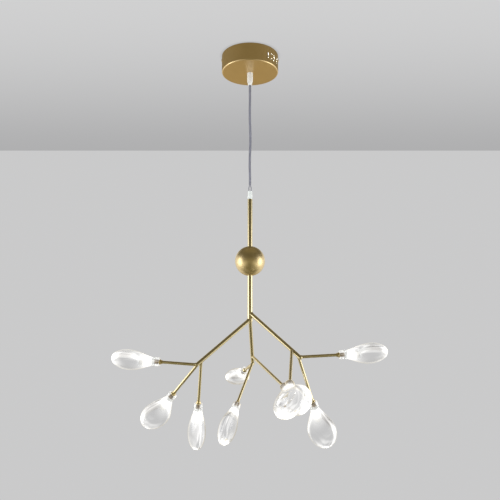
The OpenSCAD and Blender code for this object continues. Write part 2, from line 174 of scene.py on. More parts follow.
def ceiling_paint(tree):
    """Darker towards the wall, a painted shade, and a painted shadow close round the canopy."""
    depth = split_place(tree, "Object")["Y"]
    seen = graded(tree, depth, (-0.35, WALL_Y + 0.05), CEILING_NEAR, CEILING_FAR)
    # A painted contact shadow: the ceiling darkens close round the canopy
    contact = ranged(tree, distance(tree, "XY"), (0.060, 0.067), (CONTACT_SHADE, 1.0))
    darkened = add_node(tree, "ShaderNodeVectorMath", operation="SCALE")
    colour = seen.node.inputs["Color"]
    tree.links.new(colour.links[0].from_socket, darkened.inputs[0])
    tree.links.new(contact, darkened.inputs["Scale"])
    tree.links.new(darkened.outputs[0], colour)
    met = graded(tree, distance(tree, "XY"), (0.10, 0.45), (0.28, 0.24, 0.137), (0.15, 0.13, 0.075))
    metal = for_rays(tree, ["Is Glossy Ray"], met, seen)
    return for_rays(tree, ["Is Camera Ray", "Is Transmission Ray"], seen, metal)


def wall_paint(tree):
    seen = add_node(tree, "ShaderNodeEmission", Color=(*PALE, 1)).outputs[0]
    met = graded(tree, distance(tree, "X"), (0.10, 0.50), (0.50, 0.40, 0.205), (1.10, 1.05, 0.92))
    through = graded(tree, distance(tree, "X"), (0.55, 1.30), PALE, (0.95, 0.95, 0.94))
    return by_ray(tree, seen, through, met)


def floor_paint(tree):
    seen = add_node(tree, "ShaderNodeBsdfDiffuse", Color=(0.72, 0.72, 0.71, 1)).outputs[0]
    met = graded(tree, distance(tree, "X"), (0.30, 1.20), (0.20, 0.18, 0.09), (0.95, 0.90, 0.72))
    through = graded(tree, distance(tree, "X"), (0.15, 0.80), THROUGH_DARK, (0.92, 0.92, 0.90))
    metal = for_rays(tree, ["Is Glossy Ray"], met, seen)
    return for_rays(tree, ["Is Transmission Ray"], through, metal)


left, right, front = -ROOM_HALF, ROOM_HALF, -ROOM_HALF
room_plane("ceiling", [(left, front, CEILING_Z), (left, WALL_Y, CEILING_Z),
    (right, WALL_Y, CEILING_Z), (right, front, CEILING_Z)], ceiling_paint)
room_plane("wall", [(left, WALL_Y, FLOOR_Z), (right, WALL_Y, FLOOR_Z), (right, WALL_Y, CEILING_Z),
    (left, WALL_Y, CEILING_Z)], wall_paint)
room_plane("floor", [(left, front, FLOOR_Z), (right, front, FLOOR_Z), (right, WALL_Y, FLOOR_Z),
    (left, WALL_Y, FLOOR_Z)], floor_paint)

# The light: a soft window on each side, level with the ball and the branches, a broad fill from
# the front that the metal doesn't show, and a dim room behind the camera, which the tubes show
# as a dark line down their middle.

WINDOW_X = 1.05
WINDOW_Y = -0.12
WINDOW_Z = -0.50
WINDOW_WIDE = 1.15
WINDOW_HIGH = 1.50
WINDOW_POWER = 20
FILL_POWER = 13


def soft_light(name, place, aim, wide, high, power):
    light = bpy.data.lights.new(name, "AREA")
    light.shape = "RECTANGLE"
    light.size = wide
    light.size_y = high
    light.energy = power
    lamp = bpy.data.objects.new(name, light)
    lamp.location = place
    lamp.rotation_euler = (Vector(aim) - lamp.location).to_track_quat("-Z", "Y").to_euler()
    lamp.visible_camera = False
    bpy.context.scene.collection.objects.link(lamp)
    return lamp


def fade_out(light):
    """The light is brightest in its middle and fades to nothing at its edges."""
    light.use_nodes = True
    tree = light.node_tree
    apart = add_node(tree, "ShaderNodeVectorMath", operation="DISTANCE")
    apart.inputs[1].default_value = (0.5, 0.5, 0)
    tree.links.new(add_node(tree, "ShaderNodeNewGeometry").outputs["Parametric"], apart.inputs[0])
    strength = ranged(tree, apart.outputs["Value"], (0.05, 0.5), (1.0, 0.0))
    tree.links.new(strength, tree.nodes["Emission"].inputs["Strength"])


for side in (-1, 1):
    window = soft_light("side_window", (side * WINDOW_X, WINDOW_Y, WINDOW_Z),
        (0, WINDOW_Y, WINDOW_Z), WINDOW_WIDE, WINDOW_HIGH, WINDOW_POWER)
    window.visible_transmission = False
    fade_out(window.data)
fill = soft_light("front_fill", (0, -2.3, -0.4), (0, 0, -0.35), 1.6, 0.6, FILL_POWER)
fill.visible_glossy = False
fill.visible_transmission = False

room = bpy.data.worlds.new("room")
room.use_nodes = True
bpy.context.scene.world = room
tree = room.node_tree
tree.nodes.clear()
sky = "ShaderNodeBackground"
depth = split_place(tree, "Generated")["Y"]
behind_camera = (-0.95, 0.2)
met = graded(tree, depth, behind_camera, (0.33, 0.29, 0.17), (0.60, 0.60, 0.58), sky)
through = graded(tree, depth, behind_camera, THROUGH_DARK, (0.94, 0.94, 0.93), sky)
seen = add_node(tree, sky, Color=(*PALE, 1)).outputs[0]
tree.links.new(by_ray(tree, seen, through, met), add_node(tree, "ShaderNodeOutputWorld").inputs[0])

# Supply cord: a clear PVC jacket, 5 mm, with two insulated cores laid up inside it. It hangs
# from the gland to 13 mm above the stem, where the jacket is stripped back.

MM = 0.001
CORD_R = 2.5 * MM
CORD_TOP = -66.3 * MM
JACKET_END = -285 * MM
CORE_R = 0.8 * MM
CORE_OFFSET = 0.95 * MM
CORE_STEPS = 110
CORE_TURNS = 3
CORE_TOP = CORD_TOP - 1.5 * MM
CORE_END = JACKET_END + 1.2 * MM
cord_wander = [(-84, 0), (-104, -0.2), (-124, -0.4), (-144, -0.2), (-164, 0.5), (-184, 0.9),
    (-204, 0.5), (-224, -0.3), (-244, -0.6), (-258, -0.3), (-270, 0)]
cord_line = [Vector((0, 0, CORD_TOP)), Vector((0, 0, -68.8 * MM)), Vector((0, 0, -74.8 * MM))]
cord_line += [Vector((x * MM, 0, z * MM)) for z, x in cord_wander]
cord_line += [Vector((0, 0, JACKET_END + 6 * MM)), Vector((0, 0, JACKET_END))]


def smooth_line(points, steps):
    """A smooth line through the points, with this many steps between each two."""
    line = []
    for i in range(len(points) - 1):
        a, b, c, d = (points[min(max(i + k, 0), len(points) - 1)] for k in (-1, 0, 1, 2))
        for s in range(steps):
            t = s / steps
            line.append((2 * b + (c - a) * t + (2 * a - 5 * b + 4 * c - d) * t * t
                + (3 * b - a - 3 * c + d) * t ** 3) / 2)
    return line + [points[-1]]


def new_piece(name, bm, body, material, seat=None, smooth=True):
    """Puts a finished mesh in its seat and makes it an object that rides on its body."""
    if seat:
        bmesh.ops.transform(bm, matrix=seat, verts=bm.verts)
    mesh = bpy.data.meshes.new(name)
    bm.to_mesh(mesh)
    bm.free()
    mesh.polygons.foreach_set("use_smooth", [smooth] * len(mesh.polygons))
    mesh.set_sharp_from_angle(angle=radians(40))
    mesh.materials.append(material)
    piece = bpy.data.objects.new(name, mesh)
    bpy.context.scene.collection.objects.link(piece)
    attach(piece, body)
    return piece


def swept_wire(line, radius, sides, ends=1.0):
    """A round wire along a line: one ring is drawn out along it, ring by ring.
    The attribute "along" keeps each point's length along the wire and its angle round it."""
    bm = bmesh.new()
    along = bm.verts.layers.float_vector.new("along")
    ring = bmesh.ops.create_circle(bm, segments=sides, radius=1)["verts"]
    shape = [v.co.copy() for v in ring]
    facing = Vector((0, 1, 0))
    length = 0
    for i, point in enumerate(line):
        if i:
            edges = [e for e in bm.edges if e.verts[0] in ring and e.verts[1] in ring]
            drawn = bmesh.ops.extrude_edge_only(bm, edges=edges)["geom"]
            near = {v: v.co.copy() for v in drawn if isinstance(v, bmesh.types.BMVert)}
            order = [min(near, key=lambda w: (w.co - v.co).length) for v in ring]
            ring = order
            length += (point - line[i - 1]).length
        run = (line[min(i + 1, len(line) - 1)] - line[max(i - 1, 0)]).normalized()
        across = facing.cross(run).normalized()
        size = radius * (ends if i in (0, len(line) - 1) else 1)
        for v, s in zip(ring, shape):
            v.co = point + (across * s.x + facing * s.y) * size
            v[along] = (s.x * radius, s.y * radius, length)
    bmesh.ops.holes_fill(bm, edges=[e for e in bm.edges if e.is_boundary])
    bmesh.ops.recalc_face_normals(bm, faces=bm.faces)
    return bm


def texture(tree, kind, place, **settings):
    """A texture laid over the place it is given."""
    made = add_node(tree, kind, **settings)
    tree.links.new(place, made.inputs["Vector"])
    return made


def tinted(tree, surface, amount, dark, light):
    """Tints the surface from dark to light by the amount."""
    tint = add_node(tree, "ShaderNodeMix", data_type="RGBA")
    tint.inputs["A"].default_value = (*dark, 1)
    tint.inputs["B"].default_value = (*light, 1)
    tree.links.new(amount, tint.inputs["Factor"])
    tree.links.new(tint.outputs["Result"], surface.inputs["Base Color"])


def shades(colour, darker, lighter):
    """A darker and a lighter shade of a colour."""
    return [c * darker for c in colour], [min(1, c * lighter) for c in colour]


def hazed(tree, surface, amount, least, most):
    """Makes the surface's roughness vary by the amount."""
    haze = ranged(tree, amount, (0, 1), (least, most), "LINEAR")
    tree.links.new(haze, surface.inputs["Roughness"])


def rippled(tree, surface, amount, strength, depth):
    """Lifts the surface by the amount, up to a depth."""
    lift = add_node(tree, "ShaderNodeBump", Strength=strength, Distance=depth)
    tree.links.new(amount, lift.inputs["Height"])
    tree.links.new(lift.outputs["Normal"], surface.inputs["Normal"])


def along(tree):
    """The place that a piece's points keep in their attribute "along"."""
    return add_node(tree, "ShaderNodeAttribute", attribute_name="along").outputs["Vector"]


clear_pvc, tree, surface = node_material("clear_pvc", (0.48, 0.49, 0.58), rough=0.16)
surface.inputs["Transmission Weight"].default_value = 0.55
surface.inputs["IOR"].default_value = 1.52
ripple = texture(tree, "ShaderNodeTexNoise", along(tree), Scale=260.0, Detail=3.0).outputs["Fac"]
hazed(tree, surface, ripple, 0.10, 0.26)
rippled(tree, surface, ripple, 0.12, 0.0004)

core_jacket, tree, surface = node_material("core_jacket", (0.20, 0.20, 0.26), rough=0.3)
surface.inputs["Coat Weight"].default_value = 0.6
strands = texture(tree, "ShaderNodeTexWave", along(tree), bands_direction="DIAGONAL", Scale=900.0,
    Distortion=0.4)
tinted(tree, surface, strands.outputs["Fac"], (0.12, 0.125, 0.18), (0.20, 0.20, 0.27))

jacket_line = smooth_line(cord_line, 4)
jacket = new_piece("cord_jacket", swept_wire(jacket_line, CORD_R, 24, 0.8), "cord", clear_pvc)
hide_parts("supply_cord")

laid_up = []
for side in (0, pi):
    line = []
    for k in range(CORE_STEPS + 1):
        z = CORE_TOP + (CORE_END - CORE_TOP) * k / CORE_STEPS
        nearest = min(jacket_line, key=lambda point: abs(point.z - z))
        turn = side + 2 * pi * CORE_TURNS * (1 - k / CORE_STEPS)
        line.append(Vector((nearest.x + CORE_OFFSET * cos(turn), CORE_OFFSET * sin(turn), z)))
    bm = swept_wire(line, CORE_R, 10)
    core = new_piece(f"laid_core_{len(laid_up)}", bm, "cord", core_jacket)
    laid_up.append(core)

core_route = [(0.95, -283.8), (1.0, -285), (1.3, -287), (2.1, -290), (2.4, -292.5), (2.3, -295.5),
    (2.2, -298)]
bare_cores = []
for side in (-1, 1):
    line = smooth_line([Vector((side * x * MM, 0, z * MM)) for x, z in core_route], 4)
    bm = swept_wire(line, CORE_R, 12)
    core = new_piece(f"bare_core_{len(bare_cores)}", bm, "cord", core_jacket)
    bare_cores.append(core)
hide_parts("cord_cores")

# Canopy: a brass cup, spun and brushed round, with a soft lower edge. Vents are punched in two
# opposite places in its side, and a small domed screw on each side holds it to the bracket.

CANOPY_R = 60 * MM
CANOPY_H = 38 * MM
CANOPY_WALL = 1.2 * MM
EDGE_R = 2.4 * MM
HOLE_R = 5.2 * MM
PUNCH_L = 6 * MM
# Each vent's direction in degrees, and its drop, width and height in mm
VENTS = ((-51, 20.5, 3, 13), (-33, 20.5, 3, 13), (-20, 20.5, 3, 13), (-42, 15, 3.6, 3.6),
    (-42, 26, 3.6, 3.6))


def spun(profile, segments=96):
    """A profile of (radius, height) turned round Z, closed where it meets the axis.
    A ring close to each end of a long stretch keeps its shading straight."""
    closed = profile[0][0] > 0 and profile[-1][0] > 0 and len(profile) > 2
    braced = profile[:1]
    for (r0, z0), (r1, z1) in zip(profile, profile[1:]):
        hold = 0.3 * MM / max(sqrt((r1 - r0) ** 2 + (z1 - z0) ** 2), 1e-9)
        if hold < 0.2:
            braced += [(r0 + (r1 - r0) * t, z0 + (z1 - z0) * t) for t in (hold, 1 - hold)]
        braced.append((r1, z1))
    bm = bmesh.new()
    points = [bm.verts.new((r, 0, z)) for r, z in braced]
    edges = [bm.edges.new(pair) for pair in zip(points, points[1:])]
    if closed:
        edges.append(bm.edges.new((points[-1], points[0])))
    bmesh.ops.spin(bm, geom=edges, cent=(0, 0, 0), axis=(0, 0, 1), angle=2 * pi, steps=segments,
        use_merge=True, use_duplicate=False)
    bmesh.ops.remove_doubles(bm, verts=bm.verts, dist=1e-7)
    bmesh.ops.recalc_face_normals(bm, faces=bm.faces)
    return bm


def keep_place(bm):
    """Keeps each point's place before the piece is moved, in the attribute "along"."""
    along = bm.verts.layers.float_vector.get("along") or bm.verts.layers.float_vector.new("along")
    for v in bm.verts:
        v[along] = v.co.copy()
    return bm


def rounded(centre, radius, start, end, steps=6):
    """Points of an arc in a profile, from one angle to the other, in degrees."""
    angles = [radians(start + (end - start) * k / steps) for k in range(steps + 1)]
    return [(centre[0] + radius * cos(a), centre[1] + radius * sin(a)) for a in angles]


def brushed_brass(name, colour, rough, turned, grain, dull=0.06, coat=1.0, ior=1.7):
    """Brass with fine brush lines, round the piece if it was turned or else along it."""
    made, tree, surface = node_material(name, colour, metal=1.0, rough=rough)
    surface.inputs["Coat Weight"].default_value = coat
    surface.inputs["Coat Roughness"].default_value = rough
    surface.inputs["Coat IOR"].default_value = ior
    place = along(tree)
    stretch = add_node(tree, "ShaderNodeMapping")
    if turned:
        split = add_node(tree, "ShaderNodeSeparateXYZ")
        square = [add_node(tree, "ShaderNodeMath", operation="MULTIPLY") for _ in range(2)]
        total = add_node(tree, "ShaderNodeMath", operation="ADD")
        root = add_node(tree, "ShaderNodeMath", operation="SQRT")
        join = add_node(tree, "ShaderNodeCombineXYZ")
        tree.links.new(place, split.inputs[0])
        for k, axis in enumerate("XY"):
            tree.links.new(split.outputs[axis], square[k].inputs[0])
            tree.links.new(split.outputs[axis], square[k].inputs[1])
            tree.links.new(square[k].outputs[0], total.inputs[k])
        tree.links.new(total.outputs[0], root.inputs[0])
        tree.links.new(root.outputs[0], join.inputs["X"])
        tree.links.new(split.outputs["Z"], join.inputs["Z"])
        tree.links.new(join.outputs[0], stretch.inputs["Vector"])
        stretch.inputs["Scale"].default_value = (grain, 1, grain)
    else:
        tree.links.new(place, stretch.inputs["Vector"])
        stretch.inputs["Scale"].default_value = (grain, grain, grain / 60)
    lines = texture(tree, "ShaderNodeTexNoise", stretch.outputs[0], Scale=1.0, Detail=4.0,
        Roughness=0.6)
    cloud = texture(tree, "ShaderNodeTexNoise", place, Scale=38.0, Detail=3.0)
    hazed(tree, surface, lines.outputs["Fac"], rough - dull, rough + dull)
    tinted(tree, surface, cloud.outputs["Fac"], *shades(colour, 0.93, 1.05))
    rippled(tree, surface, lines.outputs["Fac"], 0.012, 0.00004)
    return made


spun_brass = brushed_brass("spun_brass", (0.69, 0.52, 0.28), 0.40, True, 2600, coat=0.2)
# A slightly lighter, glossier copy of the canopy's brass, a painted highlight along its lower edge
edge_highlight_brass = brushed_brass("edge_highlight_brass", (0.70, 0.53, 0.29), 0.38, True, 2600, coat=0.3)
# The inside and the vent walls are painted pale, a painted light that makes the vents show bright
pale_painted_light, tree, surface = node_material("pale_painted_light", (0.90, 0.86, 0.74), rough=0.5)
place = add_node(tree, "ShaderNodeTexCoord").outputs["Object"]
cloud = texture(tree, "ShaderNodeTexNoise", place, Scale=60.0, Detail=2.0)
tinted(tree, surface, cloud.outputs["Fac"], (0.86, 0.82, 0.70), (0.93, 0.89, 0.78))
edge_middle = (CANOPY_R - EDGE_R, -CANOPY_H + EDGE_R)
cup = rounded(edge_middle, EDGE_R, -90, 0)
inside = rounded(edge_middle, EDGE_R - CANOPY_WALL, 0, -90)
profile = [(HOLE_R, -CANOPY_H)] + cup + [(CANOPY_R, -0.3 * MM), (CANOPY_R - 0.3 * MM, 0)]
profile += [(CANOPY_R - CANOPY_WALL, 0)] + inside + [(HOLE_R, -CANOPY_H + CANOPY_WALL)]

# The outside is spun brass, its lower edge a slightly lighter, glossier copy of it as a painted
# highlight, and the inside is painted pale as painted light
bm = keep_place(spun(profile, 180))
for face in bm.faces:
    middle = face.calc_center_median()
    out = sqrt(middle.x ** 2 + middle.y ** 2) - (CANOPY_R - EDGE_R)
    outer = out > EDGE_R - CANOPY_WALL / 2 or middle.z < -CANOPY_H + CANOPY_WALL / 2
    on_edge = out > 0.2 * EDGE_R and middle.z < -CANOPY_H + EDGE_R
    face.material_index = int(on_edge) if outer else 2
shell = new_piece("canopy_cup", bm, "canopy", spun_brass)
shell.data.materials.append(edge_highlight_brass)
shell.data.materials.append(pale_painted_light)

# A punch for each vent: the cup is cut by them, and their walls are painted pale like the inside, a
# painted light in the vents
bm = bmesh.new()
sideways = Matrix(((0, 0, 1, 0), (1, 0, 0, 0), (0, 1, 0, 0), (0, 0, 0, 1)))
for turned in (0, 180):
    for angle, drop, width, height in VENTS:
        start = bmesh.ops.create_cone(bm, cap_ends=True, segments=20, radius1=width / 2 * MM,
            radius2=width / 2 * MM, depth=PUNCH_L)["verts"]
        for v in start:
            if abs(v.co.y) > 1e-6:
                v.co.y += (height - width) / 2 * MM * (1 if v.co.y > 0 else -1)
        seat = (Matrix.Rotation(radians(angle + turned), 4, "Z")
            @ Matrix.Translation((CANOPY_R, 0, -drop * MM)))
        bmesh.ops.transform(bm, matrix=seat @ sideways, verts=start)
bmesh.ops.recalc_face_normals(bm, faces=bm.faces)
punches = new_piece("vent_punches", bm, "canopy", pale_painted_light, smooth=False)
cut = shell.modifiers.new("vents", "BOOLEAN")
cut.object = punches
cut.operation = "DIFFERENCE"
cut.solver = "EXACT"
cut.material_mode = "TRANSFER"
dg = bpy.context.evaluated_depsgraph_get()
pierced = bpy.data.meshes.new_from_object(shell.evaluated_get(dg))
pierced.set_sharp_from_angle(angle=radians(25))
shell.modifiers.clear()
shell.data = pierced
bpy.data.objects.remove(punches)
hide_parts("canopy_shell")

# A faint light inside, which shows in the vents
glow = bpy.data.lights.new("inside_glow", "POINT")
glow.energy = 0.15
glow.shadow_soft_size = 4 * MM
lamp = bpy.data.objects.new("inside_glow", glow)
lamp.location = (0, -0.045, -0.012)
bpy.context.scene.collection.objects.link(lamp)

# Side screws: small domed brass screws, one at each end of the bracket. Their shanks reach
# inwards through the canopy's wall.

SCREW_R = 2 * MM
SIDE_SCREW_DROP = 9 * MM
HEAD_R = 3.4 * MM
HEAD_T = 1.2 * MM
polished_brass = brushed_brass("polished_brass", (0.74, 0.60, 0.32), 0.18, True, 3000, dull=0.03)
for k, side in enumerate((0, pi)):
    dome = [(HEAD_R * cos(radians(a)), 0.3 * MM + (HEAD_T - 0.3 * MM) * sin(radians(a)))
        for a in range(0, 90, 15)]
    shank = [(0, -3 * MM), (SCREW_R - 0.05 * MM, -3 * MM), (SCREW_R - 0.05 * MM, 0), (HEAD_R, 0)]
    bm = keep_place(spun(shank + dome + [(0, HEAD_T)], 36))
    seat = (Matrix.Rotation(side, 4, "Z") @ Matrix.Translation((CANOPY_R, 0, -SIDE_SCREW_DROP))
        @ Matrix.Rotation(pi / 2, 4, "Y"))
    screw = new_piece(f"side_screw_{k}", bm, "canopy", spun_brass, seat)
    if side == 0:
        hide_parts("canopy_screws")

# Inside the canopy: a zinc-plated bracket bent from sheet, the lamp driver with its lid, the
# terminal block, the earth screw, the gland's nut and the inner lead, as the frame gives them.


def dress(node, material):
    """Gives a node of the frame its finish."""
    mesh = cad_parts[node].data
    mesh.materials.clear()
    mesh.materials.append(material)


zinc, tree, surface = node_material("zinc_plate", (0.62, 0.63, 0.65), metal=1.0, rough=0.35)
place = add_node(tree, "ShaderNodeTexCoord").outputs["Object"]
spangle = texture(tree, "ShaderNodeTexVoronoi", place, Scale=420.0)
tinted(tree, surface, spangle.outputs["Distance"], (0.56, 0.57, 0.60), (0.70, 0.70, 0.71))


def moulded(name, colour, rough, grain=900.0, lift_by=0.08):
    """Plastic, nylon or ceramic with a fine moulded skin."""
    made, tree, surface = node_material(name, colour, rough=rough)
    place = add_node(tree, "ShaderNodeTexCoord").outputs["Object"]
    skin = texture(tree, "ShaderNodeTexNoise", place, Scale=grain, Detail=3.0)
    cloud = texture(tree, "ShaderNodeTexNoise", place, Scale=grain / 14, Detail=2.0)
    tinted(tree, surface, cloud.outputs["Fac"], *shades(colour, 0.95, 1.03))
    rippled(tree, surface, skin.outputs["Fac"], lift_by, 0.0001)
    return made, surface


white_plastic, _ = moulded("white_plastic", (0.78, 0.78, 0.76), 0.5)
white_ceramic, _ = moulded("white_ceramic", (0.84, 0.83, 0.80), 0.6, 1400.0, 0.15)
white_nylon, surface = moulded("white_nylon", (0.84, 0.83, 0.79), 0.42, 1200.0)
surface.inputs["Subsurface Weight"].default_value = 0.25
surface.inputs["Subsurface Radius"].default_value = (0.003, 0.003, 0.0025)
dress("ceiling_bracket", zinc)
dress("driver_case", white_plastic)
dress("driver_lid", white_plastic)
dress("terminal_block", white_ceramic)
dress("earth_screw", polished_brass)
dress("gland_locknut", white_nylon)
dress("canopy_lead", core_jacket)

# Cord gland: turned from white nylon, straight at the canopy and drawn in to the cord at its
# tip. Its thinner upper end passes through the canopy's hole to the nut inside.

GLAND_R = 6.3 * MM
TAPER_TOP = -50 * MM
GLAND_TIP = -66 * MM
GLAND_TOP = -32 * MM
GLAND_BORE_R = 2.6 * MM
THREAD_R = 5 * MM
TAPER_ARC = 60
taper = [(GLAND_R * cos(radians(a)),
    TAPER_TOP - (TAPER_TOP - GLAND_TIP) / sin(radians(TAPER_ARC)) * sin(radians(a)))
    for a in range(0, TAPER_ARC + 1, 4)]
profile = [(GLAND_BORE_R, GLAND_TOP), (THREAD_R, GLAND_TOP), (THREAD_R, -CANOPY_H),
    (GLAND_R - 0.4 * MM, -CANOPY_H), (GLAND_R, -CANOPY_H - 0.4 * MM), (GLAND_R, -CANOPY_H - 3.2 * MM),
    (GLAND_R - 0.15 * MM, -CANOPY_H - 3.4 * MM), (GLAND_R, -CANOPY_H - 3.6 * MM)]
profile += taper + [(GLAND_BORE_R, GLAND_TIP)]
gland = new_piece("gland_body", keep_place(spun(profile, 64)), "canopy", white_nylon)
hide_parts("cord_gland")

# Bushing: milky plastic, pressed on the cores. It widens from its rounded top to the width of
# the stem, and its plug sits in the stem's mouth.

STEM_R = 5 * MM
STEM_TOP = -315.3 * MM
STEM_FOOT = -565.3 * MM
BUSHING_TOP = -298.3 * MM
PLUG_R = 3.95 * MM
PLUG_L = 10 * MM
milky, surface = moulded("milky_plastic", (0.84, 0.88, 0.86), 0.22, 700.0)
surface.inputs["Subsurface Weight"].default_value = 0.3
surface.inputs["Subsurface Radius"].default_value = (0.002, 0.002, 0.002)
profile = [(0, BUSHING_TOP), (0.75 * STEM_R, BUSHING_TOP), (0.8 * STEM_R, BUSHING_TOP - 0.2 * MM),
    (0.9 * STEM_R, BUSHING_TOP - 1.1 * MM), (0.94 * STEM_R, BUSHING_TOP - 7 * MM),
    (STEM_R, STEM_TOP + 2 * MM), (STEM_R, STEM_TOP + 0.1 * MM), (STEM_R - 0.1 * MM, STEM_TOP),
    (PLUG_R, STEM_TOP), (PLUG_R, STEM_TOP - PLUG_L), (0, STEM_TOP - PLUG_L)]
bushing = new_piece("milky_bushing", keep_place(spun(profile, 48)), "bushing", milky)
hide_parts("stem_bushing")

# Stem: a 10 mm brass tube, drawn and brushed along its length. A cap with a plug closes it at
# its foot.

STEM_BORE_R = 4 * MM
CAP_PLUG_L = 8 * MM
tube_brass = brushed_brass("tube_brass", (0.62, 0.53, 0.31), 0.23, False, 1500, dull=0.02)
profile = [(STEM_BORE_R, STEM_TOP), (STEM_R - 0.2 * MM, STEM_TOP), (STEM_R, STEM_TOP - 0.2 * MM),
    (STEM_R, STEM_FOOT + 0.1 * MM), (STEM_R, STEM_FOOT), (STEM_BORE_R, STEM_FOOT)]
stem = new_piece("stem", keep_place(spun(profile, 64)), "pendant", tube_brass)
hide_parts("stem_tube")
profile = [(0, STEM_FOOT + CAP_PLUG_L), (PLUG_R, STEM_FOOT + CAP_PLUG_L), (PLUG_R, STEM_FOOT),
    (STEM_R, STEM_FOOT), (STEM_R - 0.1 * MM, STEM_FOOT - 0.6 * MM),
    (STEM_R - 0.5 * MM, STEM_FOOT - 1 * MM), (0, STEM_FOOT - 1 * MM)]
cap = new_piece("foot_cap", keep_place(spun(profile, 48)), "pendant", tube_brass)
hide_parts("stem_cap")

# Ball: two spun brass halves joined and turned true, with a satin finish. It is hollow, and is
# held on the stem by a hidden screw.

BALL_R = 30 * MM
BALL_Z = -443.8 * MM
BALL_WALL = 1.2 * MM
BALL_HOLE_R = 5.06 * MM
BALL_HOLE_Z = 0.982 * BALL_R
BALL_ARC = 80.0
BALL_STEPS = 72
ball_brass = brushed_brass("ball_brass", (0.63, 0.49, 0.24), 0.38, True, 1800, dull=0.03)
degrees = [-BALL_ARC + 2 * BALL_ARC * k / BALL_STEPS for k in range(BALL_STEPS + 1)]
outer = [(BALL_R * cos(radians(a)), BALL_R * sin(radians(a))) for a in degrees]
inner = [(r * (BALL_R - BALL_WALL) / BALL_R, z * (BALL_R - BALL_WALL) / BALL_R)
    for r, z in reversed(outer)]
profile = [(BALL_HOLE_R, -BALL_HOLE_Z)] + outer + [(BALL_HOLE_R, BALL_HOLE_Z)] + inner
bm = keep_place(spun(profile, 128))
ball = new_piece("ball", bm, "pendant", ball_brass, Matrix.Translation((0, 0, BALL_Z)))
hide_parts("stem_ball")
dress("ball_screw", zinc)

# Branches: three 7.5 mm brass tubes with rounded ends, brazed to the foot of the stem at equal
# angles. The right one is fixed a little higher than the other two. Each is given by its
# direction in degrees and its extra height in mm.

BRANCH_R = 3.75 * MM
BRANCH_L = 142 * MM
SLOPE_DOWN = 38
BRANCH_RISE = 4.3 * MM
branches = {"left": (207, 0), "centre": (87, 0), "right": (327, 13)}


def branch_seat(side):
    azimuth, step = branches[side]
    return (Matrix.Translation((0, 0, STEM_FOOT + BRANCH_RISE + step * MM))
        @ Matrix.Rotation(radians(azimuth), 4, "Z") @ Matrix.Rotation(radians(90 + SLOPE_DOWN), 4, "Y"))


for side in branches:
    profile = [(0, 3 * MM), (BRANCH_R + 0.7 * MM, 3 * MM), (BRANCH_R + 0.55 * MM, 5.2 * MM),
        (BRANCH_R + 0.2 * MM, 6.4 * MM), (BRANCH_R, 7.6 * MM)]
    profile += rounded((0, BRANCH_L), BRANCH_R, 0, 90, 8)
    bm = keep_place(spun(profile, 40))
    branch = new_piece("arm_" + side, bm, "pendant", tube_brass, branch_seat(side))
    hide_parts("branch_" + side)

# Twigs: nine 5.6 mm brass tubes, three brazed near the end of each branch. Each is given by its
# direction, its slope, its length to the glass, its distance back from the branch's end, and
# the turn of its glass, in degrees and mm.

TWIG_R = 2.8 * MM
twigs = {
    "left_outer": (174, 4, 72, 0, 115),
    "left_middle": (147, -44, 85, 5, 120),
    "left_lower": (102, -69, 86, 11, 0),
    "centre_outer": (108, -15, 58, 0, 95),
    "centre_middle": (-116, -48, 108, 3, 160),
    "centre_lower": (-66, -21, 155, 25, -30),
    "right_outer": (6, 3, 76, 2, 65),
    "right_middle": (39, -67, 93, 6, 60),
    "right_lower": (-96, -29, 118, 23, 120),
}


def mouth_seat(name):
    """Where the mouth of a glass is: Z runs towards its tip and X across its width."""
    azimuth, slope, length, setback, turn = twigs[name]
    start = branch_seat(name.split("_")[0]) @ Vector((0, 0, BRANCH_L - setback * MM))
    return (Matrix.Translation(start) @ Matrix.Rotation(radians(azimuth), 4, "Z")
        @ Matrix.Rotation(radians(90 - slope), 4, "Y") @ Matrix.Translation((0, 0, length * MM))
        @ Matrix.Rotation(radians(turn), 4, "Z"))


for name, (_, _, length, _, _) in twigs.items():
    start = -length * MM
    profile = [(0, start + 1 * MM), (TWIG_R + 0.5 * MM, start + 1 * MM),
        (TWIG_R + 0.5 * MM, start + 3.4 * MM), (TWIG_R + 0.15 * MM, start + 4.6 * MM),
        (TWIG_R, start + 5.6 * MM), (TWIG_R, -2 * MM), (0, -2 * MM)]
    bm = keep_place(spun(profile, 32))
    twig = new_piece("tube_" + name, bm, "pendant", tube_brass, mouth_seat(name))
    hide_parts("twig_" + name)

# Ferrules: turned from brass and polished. Each flares out from its twig to a thin flange, and
# its nipple, which is dark and dull, reaches into the neck of the glass.

dull_brass = brushed_brass("dull_brass", (0.20, 0.14, 0.07), 0.45, True, 2200, coat=0.1)
NIPPLE_L = 9 * MM
NIPPLE_BORE_R = 1.5 * MM
flare = [(3.4, -6), (3.45, -5.2), (3.7, -4), (4.1, -2.9), (4.6, -2.0), (4.92, -1.6), (5.0, -1.3),
    (5.0, -0.25), (4.8, 0)]
for name in twigs:
    profile = [(TWIG_R, -6 * MM)] + [(r * MM, z * MM) for r, z in flare]
    profile += [(TWIG_R, 0), (TWIG_R, NIPPLE_L), (NIPPLE_BORE_R, NIPPLE_L), (NIPPLE_BORE_R, -2 * MM),
        (TWIG_R, -2 * MM)]
    bm = keep_place(spun(profile, 40))
    for face in bm.faces:
        face.material_index = int(face.calc_center_median().z > 0.1 * MM)
    ferrule = new_piece("flare_" + name, bm, "pendant", polished_brass, mouth_seat(name))
    ferrule.data.materials.append(dull_brass)
    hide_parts("ferrule_" + name)

# Lamp holders and grip sleeves: a white ceramic bush on each nipple, and a clear silicone ring
# round it that the glass is pushed on.

